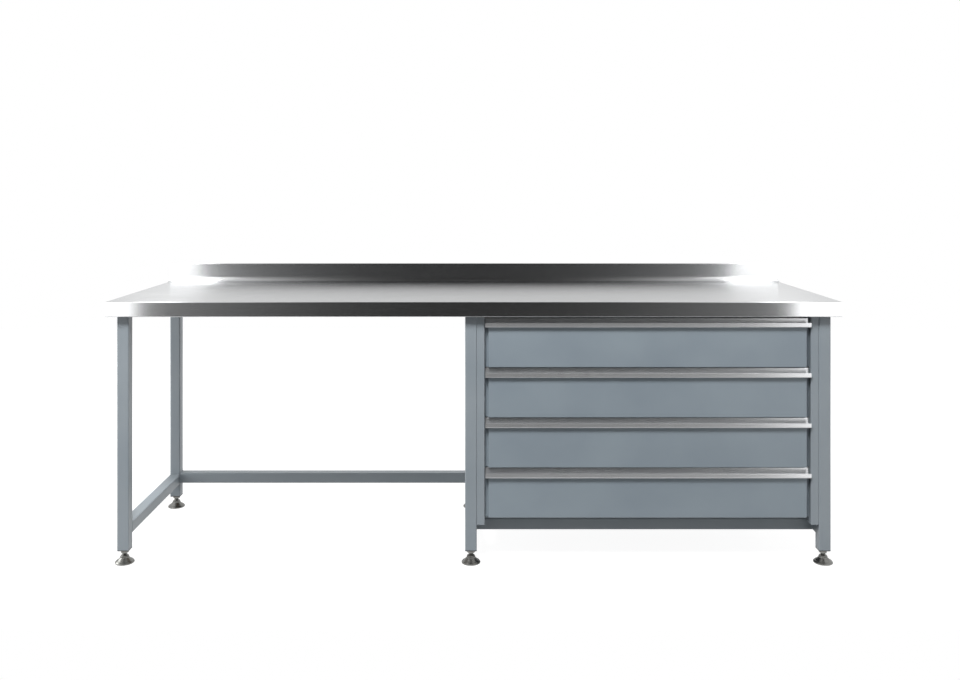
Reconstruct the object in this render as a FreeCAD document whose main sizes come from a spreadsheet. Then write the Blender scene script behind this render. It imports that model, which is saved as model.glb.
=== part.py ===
import FreeCAD, Part
import math
import os
import types

import Sketcher

# A long work bench: a stainless steel worktop with a coved upstand on a frame of square tube,
# an open knee space on the left and a cabinet with four full-width drawers on the right.
#
# Millimetres. X runs to the right, Y to the back, Z up. The origin is on the floor, in the middle
# of the bench's length and depth.

# Driving dimensions: name, value, what it measures.
WORKTOP_SIZES = [
    ("top_length", 2500, "worktop, end to end"),
    ("top_depth", 700, "worktop, front to back"),
    ("top_height", 900, "working surface above the floor"),
    ("skin", 1.5, "stainless sheet"),
    ("bend", 3, "outside radius of a fold in the stainless sheet"),
    ("apron", 51, "folded edge below the working surface"),
    ("hem", 14, "return under the apron"),
    ("upstand", 75, "upstand above the working surface"),
    ("upstand_thickness", 12, "upstand, front face to back"),
    ("upstand_drop", 20, "fold down behind the upstand"),
    ("cove", 25, "radius between surface and upstand"),
    ("core_thickness", 18, "board under the sheet"),
    ("core_gap", 2, "room between the board's edge and the apron"),
]
FRAME_SIZES = [
    ("tube", 40, "frame tube, outside"),
    ("tube_wall", 2, "frame tube wall"),
    ("tube_radius", 4, "frame tube, outside corner"),
    ("rail_height", 25, "top rail, up and down"),
    ("leg_side_inset", 30, "worktop end to outer face of an end leg"),
    ("leg_front_inset", 25, "worktop front to front face of a leg"),
    ("leg_rear_inset", 60, "worktop back to rear face of a leg"),
    ("mid_leg_shift", 10, "middle legs, left of the centre"),
    ("leg_bottom", 48, "leg's lower end above the floor"),
    ("stretcher_top", 135, "side stretchers and cabinet rails, top face"),
    ("rear_stretcher_top", 140, "rear stretcher, top face"),
    ("front_rail_setback", 68, "leg's front face to front cabinet rail"),
    ("rear_rail_gap", 20, "rear cabinet rail to rear legs"),
]
CABINET_SIZES = [
    ("sheet", 1.5, "cabinet sheet"),
    ("sheet_bend", 2.5, "outside radius of a fold in the cabinet sheet"),
    ("filler", 27, "front flange of a cabinet side"),
    ("filler_setback", 2, "leg's front face to cabinet front"),
    ("filler_return", 20, "flange of a cabinet side against a leg"),
    ("back_flange", 15, "cabinet back's flanges"),
    ("bottom_flange", 12, "cabinet bottom's flanges"),
]
DRAWER_SIZES = [
    ("drawer_floor_gap", 23, "cabinet base to lowest drawer front"),
    ("drawer_head_gap", 14.5, "highest drawer to top rail"),
    ("drawer_gap", 3, "between one drawer and the next"),
    ("panel_depth", 16.5, "painted front, front to back"),
    ("panel_setback", 4, "leg's front face to painted front"),
    ("panel_sheet", 1.5, "painted front's sheet"),
    ("panel_radius", 2.5, "painted front's outer edges"),
    ("grip_wall", 2, "grip strip's wall"),
    ("grip_height", 30, "grip strip, up and down"),
    ("grip_reach", 12, "grip lip in front of the painted front"),
    ("grip_rise", 15.5, "grip lip, up and down"),
    ("grip_flange", 12, "grip strip's top flange, behind the painted front"),
    ("grip_curve", 8, "inside radius between the trough's floor and the web"),
    ("grip_nose", 3, "outside radius between the trough's floor and the lip"),
    ("grip_fold", 3, "outside radius between web and top flange"),
    ("grip_edge", 0.9, "rounding of the lip's upper edges"),
    ("grip_side_gap", 2, "grip strip's and painted front's ends to cabinet side"),
    ("box_wall", 1.2, "drawer box sheet"),
    ("box_radius", 3, "drawer box, outside folds"),
    ("box_rear_gap", 49.5, "drawer box to cabinet back's flanges"),
    ("box_lift", 6, "painted front's lower edge to drawer box"),
    ("box_drop", 4, "drawer box's top edge to painted front's upper edge"),
    ("box_hem", 6, "drawer box's top edge, turned outwards"),
]
RUNNER_SIZES = [
    ("runner_space", 13, "cabinet side to drawer box"),
    ("runner_height", 45, "fixed runner member, up and down"),
    ("runner_wall", 1.2, "runner sheet"),
    ("runner_lip", 3.7, "depth of the lips that hold the next member"),
    ("runner_play", 0.3, "between one runner member and the next"),
    ("runner_start", 4.5, "drawer box front to runner front"),
    ("runner_end", 5.5, "runner rear to drawer box rear"),
    ("runner_centre", 45, "painted front's lower edge to runner's middle"),
]
FOOT_SIZES = [
    ("base_diameter", 65, "foot's base"),
    ("base_thickness", 8, "foot's rim"),
    ("base_neck", 30, "foot's neck, diameter"),
    ("base_height", 22, "foot's neck, top above the floor"),
    ("base_flare", 11, "cone between neck and rim"),
    ("rim_bevel", 4, "bevel round the rim"),
    ("edge_break", 1, "broken edge under the rim and at the stud's upper end"),
    ("socket_floor", 6, "bottom of the socket above the floor"),
    ("spindle", 18, "stud's lower end, diameter"),
    ("collar", 26, "stud's collar, diameter"),
    ("collar_height", 4, "stud's collar, up and down"),
    ("stud", 16, "stud's diameter"),
    ("stud_top", 92, "stud's upper end above the floor"),
    ("thread_play", 0.3, "stud to nut and insert"),
    ("nut_flats", 24, "lock nut across its flats"),
    ("nut_height", 10, "lock nut, up and down"),
    ("insert_flange", 3, "insert's flange under the leg"),
    ("insert_depth", 27, "insert's plug inside the leg"),
]

DRAWERS = 4
NUT_SIDES = 6
SHEET_NAME = "sizes"
SIDES = ("left", "mid", "right")
UP = FreeCAD.Vector(0, 0, 1)
DOWN = FreeCAD.Vector(0, 0, -1)
RIGHT = FreeCAD.Vector(1, 0, 0)
QUARTER_TURN = 90
FULL_TURN = 360
TOLERANCE = 0.001


class Length:
    """A length that carries the spreadsheet formula it comes from."""

    def __init__(self, value, formula):
        self.value = value
        self.formula = formula

    def __add__(self, other):
        other = as_length(other)
        return Length(self.value + other.value, f"({self.formula} + {other.formula})")

    def __sub__(self, other):
        other = as_length(other)
        return Length(self.value - other.value, f"({self.formula} - {other.formula})")

    def __mul__(self, factor):
        return Length(self.value * factor, f"({self.formula} * {factor:g})")

    def __truediv__(self, divisor):
        return Length(self.value / divisor, f"({self.formula} / {divisor:g})")

    def __neg__(self):
        return self * -1


class Bevel(Length):
    """The size of a corner that is cut off at 45 degrees instead of rounded."""

    def __init__(self, length):
        super().__init__(length.value, length.formula)


def as_length(number):
    """A plain number as a Length; a Length as it is."""
    if isinstance(number, Length):
        return number
    return Length(float(number), f"{number:g}")


def fill_sheet(doc, table):
    """Write the driving dimensions to the spreadsheet and return them as named lengths."""
    sheet = doc.addObject("Spreadsheet::Sheet", SHEET_NAME)
    for row, (alias, value, meaning) in enumerate(table, start=1):
        sheet.set(f"A{row}", meaning)
        sheet.set(f"B{row}", str(value))
        sheet.setAlias(f"B{row}", alias)
    doc.recompute()
    named = {alias: Length(float(sheet.get(alias)), f"{SHEET_NAME}.{alias}") for alias, _, _ in table}
    return types.SimpleNamespace(**named)


def bind(thing, prop, length):
    """Tie a property of a document object to a length."""
    thing.setExpression(prop, as_length(length).formula)


def place(thing, x=0, y=0, z=0, upright=False):
    """Tie an object's position to three lengths; upright stands a piece drawn lying on its back on edge."""
    if upright:
        thing.Placement = FreeCAD.Placement(FreeCAD.Vector(), FreeCAD.Rotation(RIGHT, QUARTER_TURN))
    bind(thing, "Placement.Base.x", x)
    bind(thing, "Placement.Base.y", y)
    bind(thing, "Placement.Base.z", z)


def new_body(doc, label):
    body = doc.addObject("PartDesign::Body", label)
    body.Label = label
    return body


# Sketches: straight runs along the plane's two axes, with sharp, rounded or bevelled corners.

def origin_plane(body, role):
    return next(item for item in body.Origin.OriginFeatures if item.Role == role)


def outline(body, plane, *loops, offset=0):
    """A sketch on one of the body's planes. A corner is (u, v), (u, v, radius) or (u, v, Bevel)."""
    sketch = body.newObject("Sketcher::SketchObject", f"{body.Name}_outline")
    sketch.AttachmentSupport = [(origin_plane(body, f"{plane}_Plane"), "")]
    sketch.MapMode = "FlatFace"
    bind(sketch, "AttachmentOffset.Base.z", offset)
    for corners in loops:
        draw_loop(sketch, [tuple(as_length(item) for item in corner) for corner in corners])
    return sketch


def draw_loop(sketch, corners):
    """Draw a closed loop, with each run held by its distance from the origin and each corner by its size."""
    count = len(corners)
    points = [FreeCAD.Vector(corner[0].value, corner[1].value, 0) for corner in corners]
    sizes = [corner[2] if len(corner) > 2 else None for corner in corners]
    heading = [(points[(i + 1) % count] - points[i]).normalize() for i in range(count)]
    reach = [size.value if size else 0.0 for size in sizes]
    runs = []
    for i in range(count):
        start = points[i] + heading[i] * reach[i]
        finish = points[(i + 1) % count] - heading[i] * reach[(i + 1) % count]
        runs.append(sketch.addGeometry(Part.LineSegment(start, finish), False))
    for i in range(count):
        hold_run(sketch, runs[i], heading[i], corners[i])
        before, after, size = runs[i - 1], runs[i], sizes[i]
        if size is None:
            sketch.addConstraint(Sketcher.Constraint("Coincident", before, 2, after, 1))
        elif isinstance(size, Bevel):
            bevel_corner(sketch, before, after, points[i], heading[i - 1], heading[i], size)
        else:
            round_corner(sketch, before, after, points[i], heading[i - 1], heading[i], size)


def hold_run(sketch, run, heading, corner):
    """Keep a run along its axis, at its distance from the sketch's origin."""
    level = abs(heading.x) > abs(heading.y)
    sketch.addConstraint(Sketcher.Constraint("Horizontal" if level else "Vertical", run))
    distance = corner[1] if level else corner[0]
    if distance.formula == "0":
        axis = -1 if level else -2
        sketch.addConstraint(Sketcher.Constraint("PointOnObject", run, 1, axis))
        return
    kind = "DistanceY" if level else "DistanceX"
    index = sketch.addConstraint(Sketcher.Constraint(kind, -1, 1, run, 1, distance.value))
    bind(sketch, f"Constraints[{index}]", distance)


def bevel_corner(sketch, before, after, corner, heading_in, heading_out, bevel):
    """Join two runs by a line at 45 degrees."""
    first = corner - heading_in * bevel.value
    last = corner + heading_out * bevel.value
    cut = sketch.addGeometry(Part.LineSegment(first, last), False)
    sketch.addConstraint(Sketcher.Constraint("Coincident", before, 2, cut, 1))
    sketch.addConstraint(Sketcher.Constraint("Coincident", cut, 2, after, 1))
    for kind, travel in (("DistanceX", last.x - first.x), ("DistanceY", last.y - first.y)):
        start, finish = (1, 2) if travel > 0 else (2, 1)
        index = sketch.addConstraint(Sketcher.Constraint(kind, cut, start, cut, finish, bevel.value))
        bind(sketch, f"Constraints[{index}]", bevel)


def round_corner(sketch, before, after, corner, heading_in, heading_out, radius):
    """Join two runs by an arc that is tangent to both."""
    centre = corner + (heading_out - heading_in) * radius.value
    turns_left = heading_in.cross(heading_out).z > 0
    first = corner - heading_in * radius.value
    last = corner + heading_out * radius.value
    start, finish = (first, last) if turns_left else (last, first)
    angles = [math.atan2(point.y - centre.y, point.x - centre.x) for point in (start, finish)]
    circle = Part.Circle(centre, UP, radius.value)
    arc = sketch.addGeometry(Part.ArcOfCircle(circle, *angles), False)
    first_end, last_end = (1, 2) if turns_left else (2, 1)
    sketch.addConstraint(Sketcher.Constraint("Tangent", before, 2, arc, first_end))
    sketch.addConstraint(Sketcher.Constraint("Tangent", arc, last_end, after, 1))
    index = sketch.addConstraint(Sketcher.Constraint("Radius", arc, radius.value))
    bind(sketch, f"Constraints[{index}]", radius)


def rectangle(left, low, right, high, radius=None):
    """Corners of a rectangle, rounded where a radius is given."""
    rounding = () if radius is None else (radius,)
    return [(u, v, *rounding) for u, v in ((left, low), (right, low), (right, high), (left, high))]


def centred(width, height, radius=None):
    return rectangle(-width / 2, -height / 2, width / 2, height / 2, radius)


def mirrored(corners):
    """The same loop on the other side of the sketch's upright axis."""
    return [(-as_length(corner[0]), *corner[1:]) for corner in corners]


# Features.

def pad(body, sketch, length, reverse=False):
    feature = body.newObject("PartDesign::Pad", f"{body.Name}_pad")
    feature.Profile = sketch
    feature.Reversed = reverse
    bind(feature, "Length", length)
    body.Document.recompute()
    return feature


def pocket_through(body, sketch):
    """Cut a sketch on the body's lower face through everything above it."""
    feature = body.newObject("PartDesign::Pocket", f"{body.Name}_pocket")
    feature.Profile = sketch
    feature.Type = "ThroughAll"
    feature.Midplane = True
    before = body.Shape.Volume
    body.Document.recompute()
    if body.Shape.Volume >= before:
        raise RuntimeError(f"{body.Label}: the pocket cuts nothing")
    return feature


def revolve(body, sketch):
    feature = body.newObject("PartDesign::Revolution", f"{body.Name}_revolution")
    feature.Profile = sketch
    feature.ReferenceAxis = (sketch, ["V_Axis"])
    feature.Angle = FULL_TURN
    body.Document.recompute()
    return feature


def furthest_face(shape, direction):
    """Index, from 1, of the flat face that lies furthest in a direction."""
    reach = [face.CenterOfMass.dot(direction) for face in shape.Faces]
    return 1 + max(range(len(reach)), key=reach.__getitem__)


def round_edges(body, feature, direction, radius):
    """Round the face that lies furthest in a direction, and the edges that run along the direction."""
    shape = feature.Shape
    rim = shape.Faces[furthest_face(shape, direction) - 1].Edges
    names = []
    for index, edge in enumerate(shape.Edges, start=1):
        ends = [vertex.Point for vertex in edge.Vertexes]
        along = (ends[0] - ends[-1]).cross(direction).Length < TOLERANCE
        if along or any(edge.isSame(other) for other in rim):
            names.append(f"Edge{index}")
    fillet = body.newObject("PartDesign::Fillet", f"{body.Name}_fillet")
    fillet.Base = (feature, names)
    bind(fillet, "Radius", radius)
    body.Document.recompute()
    return fillet


def hollow(body, feature, direction, wall):
    """Leave a wall inside the shape's faces, open on the side that the direction points to."""
    shell = body.newObject("PartDesign::Thickness", f"{body.Name}_shell")
    shell.Base = (feature, [f"Face{furthest_face(feature.Shape, direction)}"])
    shell.Reversed = True
    bind(shell, "Value", wall)
    before = feature.Shape.Volume
    body.Document.recompute()
    if shell.Shape.Volume >= before:
        raise RuntimeError(f"{body.Label}: the shell is not hollow")
    return shell


def group(doc, label, members):
    """Identical pieces that share one node, each still a solid of its own."""
    compound = doc.addObject("Part::Compound", label)
    compound.Label = label
    compound.Links = members
    doc.recompute()
    return compound


class Layout:
    """Places that several pieces share, worked out from the driving dimensions."""

    def __init__(self, s):
        self.front = -s.top_depth / 2
        self.back = s.top_depth / 2
        self.left = -s.top_length / 2
        self.leg_x = {
            "left": self.left + s.leg_side_inset + s.tube / 2,
            "mid": -s.mid_leg_shift,
            "right": s.top_length / 2 - s.leg_side_inset - s.tube / 2,
        }
        self.leg_front = self.front + s.leg_front_inset
        self.leg_y = {
            "front": self.leg_front + s.tube / 2,
            "rear": self.back - s.leg_rear_inset - s.tube / 2,
        }
        self.inner_depth = self.leg_y["rear"] - self.leg_y["front"] - s.tube
        self.core_bottom = s.top_height - s.skin - s.core_thickness
        self.rail_bottom = self.core_bottom - s.rail_height
        self.cabinet_left = self.leg_x["mid"] + s.tube / 2
        self.cabinet_right = self.leg_x["right"] - s.tube / 2
        self.cabinet_front = self.leg_front + s.filler_setback
        self.cabinet_back = self.leg_y["rear"] - s.tube / 2 + s.filler_return
        self.cabinet_height = self.rail_bottom - s.stretcher_top
        self.opening_left = self.cabinet_left + s.filler
        self.opening_right = self.cabinet_right - s.filler
        self.opening_width = self.opening_right - self.opening_left
        self.rail_front = self.leg_front + s.front_rail_setback
        self.panel_front = self.leg_front + s.panel_setback
        self.box_front = self.panel_front + s.panel_depth
        self.box_width = self.opening_width - s.runner_space * 2
        self.box_length = self.cabinet_back - s.back_flange - s.box_rear_gap - self.box_front
        self.runner_length = self.box_length - s.runner_start - s.runner_end
        self.lowest_drawer = s.stretcher_top + s.drawer_floor_gap
        drawer_stack = self.rail_bottom - s.drawer_head_gap + s.drawer_gap - self.lowest_drawer
        self.drawer_pitch = drawer_stack / DRAWERS
        self.panel_height = self.drawer_pitch - s.drawer_gap - s.grip_height
        self.box_height = self.panel_height - s.box_lift - s.box_drop

    def drawer_bottom(self, number):
        """Lower edge of a drawer front; drawer 1 is at the top."""
        return self.lowest_drawer + self.drawer_pitch * (DRAWERS - number)


# Worktop.

def worktop_skin(doc, s, at):
    """One folded sheet with welded ends: hem, apron, surface, cove, upstand and its back fold."""
    body = new_body(doc, "worktop_skin")
    depth = s.top_depth
    face = depth - s.upstand_thickness
    inside = s.bend - s.skin
    low = s.upstand - s.upstand_drop
    fold = [
        (s.hem, -s.apron),
        (0, -s.apron, s.bend),
        (0, 0, s.bend),
        (face, 0, s.cove),
        (face, s.upstand, s.bend),
        (depth, s.upstand, s.bend),
        (depth, low),
        (depth - s.skin, low),
        (depth - s.skin, s.upstand - s.skin, inside),
        (face + s.skin, s.upstand - s.skin, inside),
        (face + s.skin, -s.skin, s.cove + s.skin),
        (s.skin, -s.skin, inside),
        (s.skin, -s.apron + s.skin, inside),
        (s.hem, -s.apron + s.skin),
    ]
    pad(body, outline(body, "YZ", fold), s.top_length)
    end = [
        (0, -s.apron, s.bend),
        (0, 0, s.bend),
        (face, 0, s.cove),
        (face, s.upstand, s.bend),
        (depth, s.upstand, s.bend),
        (depth, low),
        (face + s.skin, low),
        (face + s.skin, -s.apron),
    ]
    right_end = s.top_length - s.skin
    for start in (as_length(0), right_end):
        pad(body, outline(body, "YZ", end, offset=start), s.skin)
    for left, right in ((0, s.hem), (s.top_length - s.hem, s.top_length)):
        strip = rectangle(left, s.hem, right, face + s.skin)
        pad(body, outline(body, "XY", strip, offset=-s.apron), s.skin)
    place(body, at.left, at.front, s.top_height)
    return body


def worktop_core(doc, s, at):
    """The board that stiffens the sheet, clear of the folds at its front and ends."""
    body = new_body(doc, "worktop_core")
    clear = s.skin + s.core_gap
    board = rectangle(clear, clear, s.top_length - clear, s.top_depth - s.upstand_thickness)
    pad(body, outline(body, "XY", board), s.core_thickness)
    place(body, at.left, at.front, at.core_bottom)
    return body


# Frame.

def tube(doc, s, label, plane, width, height, run):
    """A rectangular tube, centred on the plane's origin, that runs along the plane's third axis."""
    body = new_body(doc, label)
    outer = centred(width, height, s.tube_radius)
    inner = centred(width - s.tube_wall * 2, height - s.tube_wall * 2, s.tube_radius - s.tube_wall)
    pad(body, outline(body, plane, outer, inner), run, reverse=plane == "XZ")
    return body


def legs(doc, s, at):
    for row, y in at.leg_y.items():
        for side, x in at.leg_x.items():
            leg = tube(doc, s, f"leg_{row}_{side}", "XY", s.tube, s.tube, at.core_bottom - s.leg_bottom)
            place(leg, x, y, s.leg_bottom)
            yield leg


def top_rails(doc, s, at):
    """Seven flat tubes under the board: two along the front, two along the back, three across."""
    z = at.core_bottom - s.rail_height / 2
    for row, y in at.leg_y.items():
        for side, start, finish in (("left", "left", "mid"), ("right", "mid", "right")):
            run = at.leg_x[finish] - at.leg_x[start] - s.tube
            rail = tube(doc, s, f"top_rail_{row}_{side}", "YZ", s.tube, s.rail_height, run)
            place(rail, at.leg_x[start] + s.tube / 2, y, z)
            yield rail
    for side in SIDES:
        rail = tube(doc, s, f"top_rail_side_{side}", "XZ", s.tube, s.rail_height, at.inner_depth)
        place(rail, at.leg_x[side], at.leg_y["front"] + s.tube / 2, z)
        yield rail


def stretchers(doc, s, at):
    """Low tubes between front and rear legs, and one behind the knee space."""
    for side in SIDES:
        rail = tube(doc, s, f"stretcher_side_{side}", "XZ", s.tube, s.tube, at.inner_depth)
        place(rail, at.leg_x[side], at.leg_y["front"] + s.tube / 2, s.stretcher_top - s.tube / 2)
        yield rail
    run = at.leg_x["mid"] - at.leg_x["left"] - s.tube
    rear = tube(doc, s, "stretcher_rear", "YZ", s.tube, s.tube, run)
    place(rear, at.leg_x["left"] + s.tube / 2, at.leg_y["rear"], s.rear_stretcher_top - s.tube / 2)
    yield rear


def cabinet_rails(doc, s, at):
    """Two tubes between the middle and right side stretchers, which the cabinet stands on."""
    rows = {
        "front": at.rail_front + s.tube / 2,
        "rear": at.leg_y["rear"] - s.tube - s.rear_rail_gap,
    }
    for row, y in rows.items():
        run = at.cabinet_right - at.cabinet_left
        rail = tube(doc, s, f"cabinet_rail_{row}", "YZ", s.tube, s.tube, run)
        place(rail, at.cabinet_left, y, s.stretcher_top - s.tube / 2)
        yield rail


# Cabinet.

def cabinet_sides(doc, s, at):
    """Folded sides: a wall for the runners, and flanges at front and back that reach the legs."""
    depth = at.cabinet_back - at.cabinet_front
    inside = s.sheet_bend - s.sheet
    fold = [
        (0, s.filler_return),
        (0, 0, s.sheet_bend),
        (s.filler, 0, s.sheet_bend),
        (s.filler, depth, s.sheet_bend),
        (0, depth, s.sheet_bend),
        (0, depth - s.filler_return),
        (s.sheet, depth - s.filler_return),
        (s.sheet, depth - s.sheet, inside),
        (s.filler - s.sheet, depth - s.sheet, inside),
        (s.filler - s.sheet, s.sheet, inside),
        (s.sheet, s.sheet, inside),
        (s.sheet, s.filler_return),
    ]
    for side, x, corners in (("left", at.cabinet_left, fold), ("right", at.cabinet_right, mirrored(fold))):
        body = new_body(doc, f"cabinet_side_{side}")
        pad(body, outline(body, "XY", corners), at.cabinet_height)
        place(body, x, at.cabinet_front, s.stretcher_top)
        yield body


def cabinet_back(doc, s, at):
    """A shallow pan between the sides, its flanges turned forward; drawn lying on its back."""
    body = new_body(doc, "cabinet_back")
    panel = rectangle(0, 0, at.opening_width, at.cabinet_height)
    block = pad(body, outline(body, "XY", panel), s.back_flange)
    hollow(body, block, UP, s.sheet)
    place(body, at.opening_left, at.cabinet_back, s.stretcher_top, upright=True)
    return body


def cabinet_bottom(doc, s, at):
    """A tray on the two cabinet rails, its flanges turned up."""
    body = new_body(doc, "cabinet_bottom")
    depth = at.cabinet_back - s.back_flange - at.rail_front
    block = pad(body, outline(body, "XY", rectangle(0, 0, at.opening_width, depth)), s.bottom_flange)
    hollow(body, block, UP, s.sheet)
    place(body, at.opening_left, at.rail_front, s.stretcher_top)
    return body


# Runners: each member is a folded channel that the next one hooks into.

def fixed_member(s):
    """Channel open to the drawer, with lips turned towards its middle."""
    half = s.runner_height / 2
    depth = s.runner_space - s.runner_wall - s.runner_lip + s.runner_play
    inside = half - s.runner_wall
    lip = half - s.runner_wall - s.runner_lip
    return [
        (0, -half), (depth, -half), (depth, -lip), (depth - s.runner_wall, -lip),
        (depth - s.runner_wall, -inside), (s.runner_wall, -inside),
        (s.runner_wall, inside), (depth - s.runner_wall, inside),
        (depth - s.runner_wall, lip), (depth, lip), (depth, half), (0, half),
    ]


def middle_member(s):
    """A smaller channel of the same form, inside the fixed one."""
    start = s.runner_wall + s.runner_play
    half = s.runner_height / 2 - s.runner_wall - s.runner_play
    depth = s.runner_space - s.runner_wall * 2 - s.runner_lip
    inside = half - s.runner_wall
    lip = s.runner_height / 2 - s.runner_wall - s.runner_lip
    return [
        (start, -half), (depth, -half), (depth, -lip), (depth - s.runner_wall, -lip),
        (depth - s.runner_wall, -inside), (start + s.runner_wall, -inside),
        (start + s.runner_wall, inside), (depth - s.runner_wall, inside),
        (depth - s.runner_wall, lip), (depth, lip), (depth, half), (start, half),
    ]


def drawer_member(s):
    """Hat section on the drawer, its brim held behind the middle member's lips."""
    start = (s.runner_wall + s.runner_play) * 2
    back = as_length(s.runner_space)
    half = s.runner_height / 2 - s.runner_wall - s.runner_lip - s.runner_play
    inside = half - s.runner_wall
    brim = s.runner_height / 2 - (s.runner_wall + s.runner_play) * 2
    return [
        (back, -half), (start + s.runner_wall, -half), (start + s.runner_wall, -brim), (start, -brim),
        (start, -inside), (back - s.runner_wall, -inside),
        (back - s.runner_wall, inside), (start, inside),
        (start, brim), (start + s.runner_wall, brim), (start + s.runner_wall, half), (back, half),
    ]


def runner_pair(doc, s, at, number, kind, section):
    """A left and a right runner member of one drawer."""
    y = at.box_front + s.runner_start
    z = at.drawer_bottom(number) + s.runner_centre
    sides = (("left", at.opening_left, section), ("right", at.opening_right, mirrored(section)))
    for side, x, corners in sides:
        body = new_body(doc, f"{kind}_{number}_{side}")
        pad(body, outline(body, "XZ", corners), at.runner_length, reverse=True)
        place(body, x, y, z)
        yield body


# Drawers.

def drawer_front(doc, s, at, number):
    """Painted pan with rounded outer edges, open to the back; drawn with its face up.

    Its ends are turned outwards at the back, over the runners and as far as the grip strip.
    """
    body = new_body(doc, f"drawer_{number}_front")
    face = rectangle(0, 0, at.box_width, at.panel_height)
    block = pad(body, outline(body, "XY", face), s.panel_depth, reverse=True)
    rounded = round_edges(body, block, UP, s.panel_radius)
    hollow(body, rounded, DOWN, s.panel_sheet)
    hem = s.runner_space - s.grip_side_gap
    for left, right in ((-hem, s.panel_sheet), (at.box_width - s.panel_sheet, at.box_width + hem)):
        strip = rectangle(left, 0, right, at.panel_height)
        pad(body, outline(body, "XY", strip, offset=-s.panel_depth), s.panel_sheet)
    x = at.opening_left + s.runner_space
    place(body, x, at.panel_front, at.drawer_bottom(number), upright=True)
    return body


def drawer_grip(doc, s, at, number):
    """J-shaped strip on top of the pan: a finger trough between a web and a rising lip."""
    body = new_body(doc, f"drawer_{number}_grip")
    wall = s.grip_wall
    height = s.grip_height
    back = s.panel_depth
    tail = back + s.grip_flange
    curve = s.grip_curve
    section = [
        (tail, height),
        (back - wall, height, s.grip_fold),
        (back - wall, wall, curve),
        (-s.grip_reach + wall, wall, s.grip_nose - wall),
        (-s.grip_reach + wall, s.grip_rise, s.grip_edge),
        (-s.grip_reach, s.grip_rise, s.grip_edge),
        (-s.grip_reach, 0, s.grip_nose),
        (back, 0, curve + wall),
        (back, height - wall, s.grip_fold - wall),
        (tail, height - wall),
    ]
    pad(body, outline(body, "YZ", section), at.opening_width - s.grip_side_gap * 2)
    bottom = at.drawer_bottom(number) + at.panel_height
    place(body, at.opening_left + s.grip_side_gap, at.panel_front, bottom)
    return body


def drawer_box(doc, s, at, number):
    """Sheet-steel box, open at the top, its front wall against the pan's edges, its other walls hemmed."""
    body = new_body(doc, f"drawer_{number}_box")
    width, length, wall, hem = at.box_width, at.box_length, s.box_wall, s.box_hem
    block = pad(body, outline(body, "XY", rectangle(0, 0, width, length)), at.box_height)
    rounded = round_edges(body, block, DOWN, s.box_radius)
    hollow(body, rounded, UP, wall)
    strip = [
        (-hem, s.box_radius),
        (wall, s.box_radius),
        (wall, length - wall, s.box_radius - wall),
        (width - wall, length - wall, s.box_radius - wall),
        (width - wall, s.box_radius),
        (width + hem, s.box_radius),
        (width + hem, length + hem),
        (-hem, length + hem),
    ]
    pad(body, outline(body, "XY", strip, offset=at.box_height - wall), wall)
    bottom = at.drawer_bottom(number) + s.box_lift
    place(body, at.opening_left + s.runner_space, at.box_front, bottom)
    return body


# Levelling feet.

def foot_inserts(doc, s, at):
    """Threaded plugs in the leg ends, each with a flange under the tube."""
    bore = s.stud + s.thread_play * 2
    plug_width = s.tube - s.tube_wall * 2
    for row, y in at.leg_y.items():
        for side, x in at.leg_x.items():
            body = new_body(doc, f"foot_insert_{row}_{side}")
            pad(body, outline(body, "XY", centred(s.tube, s.tube, s.tube_radius)), s.insert_flange)
            plug = centred(plug_width, plug_width, s.tube_radius - s.tube_wall)
            pad(body, outline(body, "XY", plug), s.insert_flange + s.insert_depth)
            pocket_through(body, circle(body, bore))
            place(body, x, y, s.leg_bottom - s.insert_flange)
            yield body


def circle(body, diameter):
    """A sketch of one circle round the body's upright axis."""
    sketch = body.newObject("Sketcher::SketchObject", f"{body.Name}_circle")
    sketch.AttachmentSupport = [(origin_plane(body, "XY_Plane"), "")]
    sketch.MapMode = "FlatFace"
    ring = Part.Circle(FreeCAD.Vector(), UP, diameter.value / 2)
    edge = sketch.addGeometry(ring, False)
    sketch.addConstraint(Sketcher.Constraint("Coincident", edge, 3, -1, 1))
    index = sketch.addConstraint(Sketcher.Constraint("Diameter", edge, diameter.value))
    bind(sketch, f"Constraints[{index}]", diameter)
    return sketch


def hexagon(doc, label, flats, height):
    """A six-sided prism, given across its flats."""
    prism = doc.addObject("Part::Prism", label)
    prism.Polygon = NUT_SIDES
    bind(prism, "Circumradius", flats / (2 * math.cos(math.pi / NUT_SIDES)))
    bind(prism, "Height", height)
    return prism


def lock_nuts(doc, s, at):
    """Nuts that hold the studs, tight under the inserts."""
    z = s.leg_bottom - s.insert_flange - s.nut_height
    for row, y in at.leg_y.items():
        for side, x in at.leg_x.items():
            label = f"foot_nut_{row}_{side}"
            blank = hexagon(doc, f"{label}_blank", s.nut_flats, s.nut_height)
            bore = doc.addObject("Part::Cylinder", f"{label}_bore")
            bind(bore, "Radius", s.stud / 2 + s.thread_play)
            bind(bore, "Height", s.nut_height)
            nut = doc.addObject("Part::Cut", label)
            nut.Base = blank
            nut.Tool = bore
            place(nut, x, y, z)
            yield nut


def foot_base(doc, s, at, row, side):
    """Flared base with a socket for the stud's spindle."""
    body = new_body(doc, f"foot_{row}_{side}_base")
    profile = [
        (0, 0),
        (s.base_diameter / 2, 0, Bevel(s.edge_break)),
        (s.base_diameter / 2, s.base_thickness, Bevel(s.rim_bevel)),
        (s.base_neck / 2, s.base_thickness, Bevel(s.base_flare)),
        (s.base_neck / 2, s.base_height),
        (s.spindle / 2, s.base_height),
        (s.spindle / 2, s.socket_floor),
        (0, s.socket_floor),
    ]
    revolve(body, outline(body, "XZ", profile))
    place(body, at.leg_x[side], at.leg_y[row], 0)
    return body


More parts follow.
